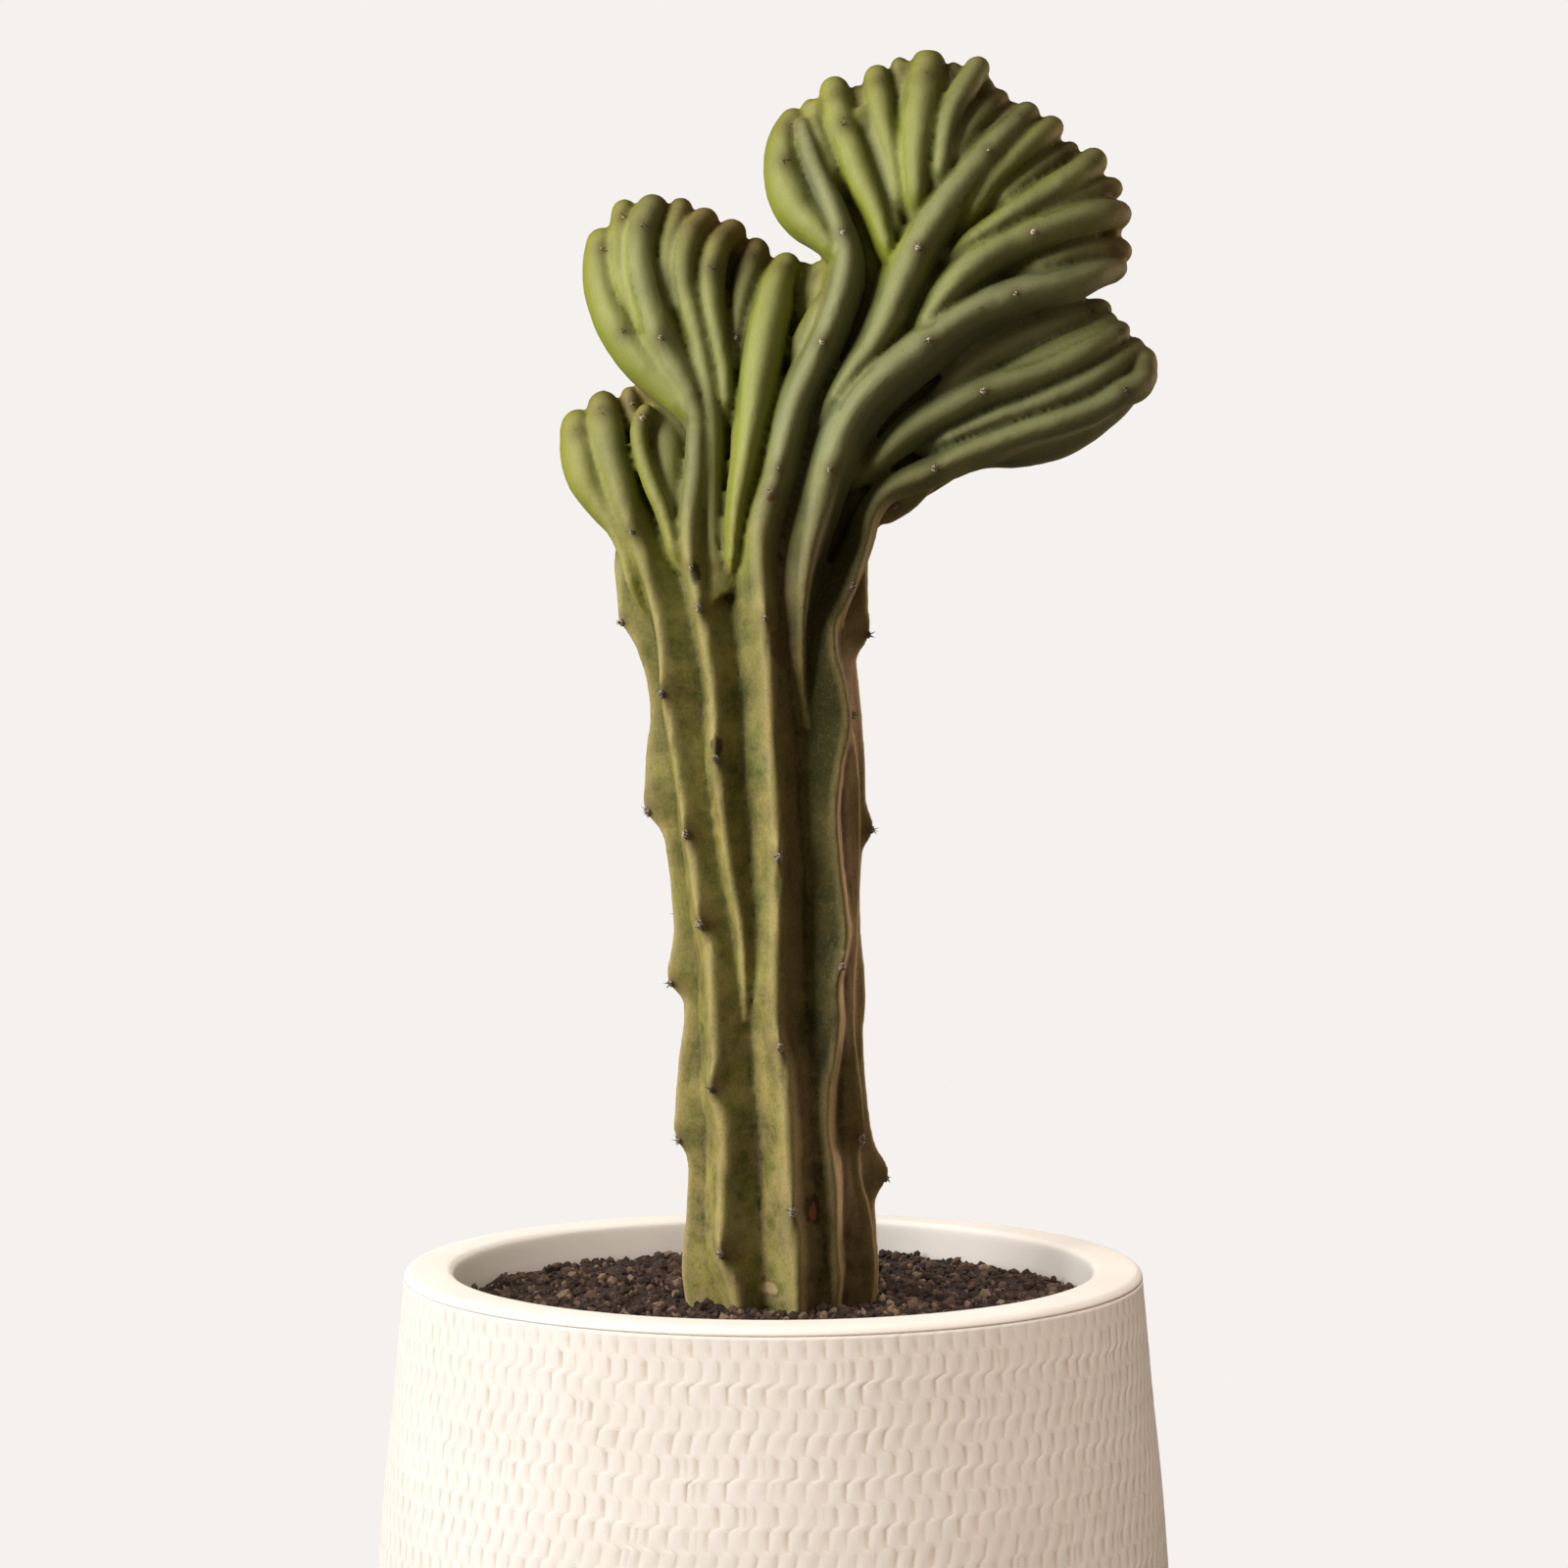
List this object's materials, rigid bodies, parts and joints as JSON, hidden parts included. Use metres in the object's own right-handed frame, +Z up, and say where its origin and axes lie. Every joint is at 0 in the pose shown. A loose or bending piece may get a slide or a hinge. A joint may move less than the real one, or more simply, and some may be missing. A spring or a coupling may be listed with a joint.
{
  "type": "potted crested cactus",
  "caption": "Crested blue candle cactus: a ribbed stem that fans into a lobed crest of rounded fingers, rooted in soil in a round stoneware planter.",
  "frame": {"origin": "centre of the pot's foot, at the bottom of the object's box, on the surface that it stands on", "axes": "+Z up along the pot's axis, -Y towards the viewer of the crest's front, +X to that viewer's right"},
  "size_m": [0.26, 0.26, 0.6279],
  "materials": {
    "cactus_skin": "waxy matte olive green skin, paler along the ridges, tan and corky near the soil",
    "stoneware": "matte warm cream, low relief of small upright blocks below a plain lip",
    "potting_soil": "rough dark brown grains"
  },
  "bodies": {
    "root": {"cactus": "cactus_skin", "pot": "stoneware", "soil": "potting_soil"}
  },
  "joints": []
}
